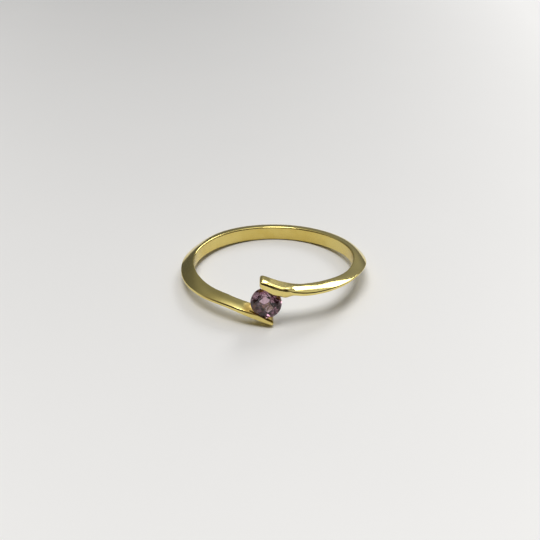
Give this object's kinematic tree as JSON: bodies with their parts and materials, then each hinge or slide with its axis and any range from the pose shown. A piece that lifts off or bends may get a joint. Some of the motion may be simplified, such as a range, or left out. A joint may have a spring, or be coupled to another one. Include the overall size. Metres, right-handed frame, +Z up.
{
  "type": "bypass finger ring with a small round amethyst",
  "caption": "Slim gold-finished bypass ring lying on its side, whose two arms pass each other at the front and hold a small round purple stone between them.",
  "frame": {"origin": "on the surface the ring lies on, under the middle of its box", "axes": "+Z up from that surface, the stone faces -Y, +X to the right as seen from the stone's side; the finger hole leans 5.4 degrees from +Z because the end of the lower arm lifts the front"},
  "size_m": [0.0194, 0.0198, 0.0047],
  "materials": {
    "gold_finish": "polished gold finish on sterling silver",
    "amethyst": "faceted and polished, dark purple"
  },
  "bodies": {
    "root": {"band": "gold_finish", "stone": "amethyst"}
  },
  "joints": []
}
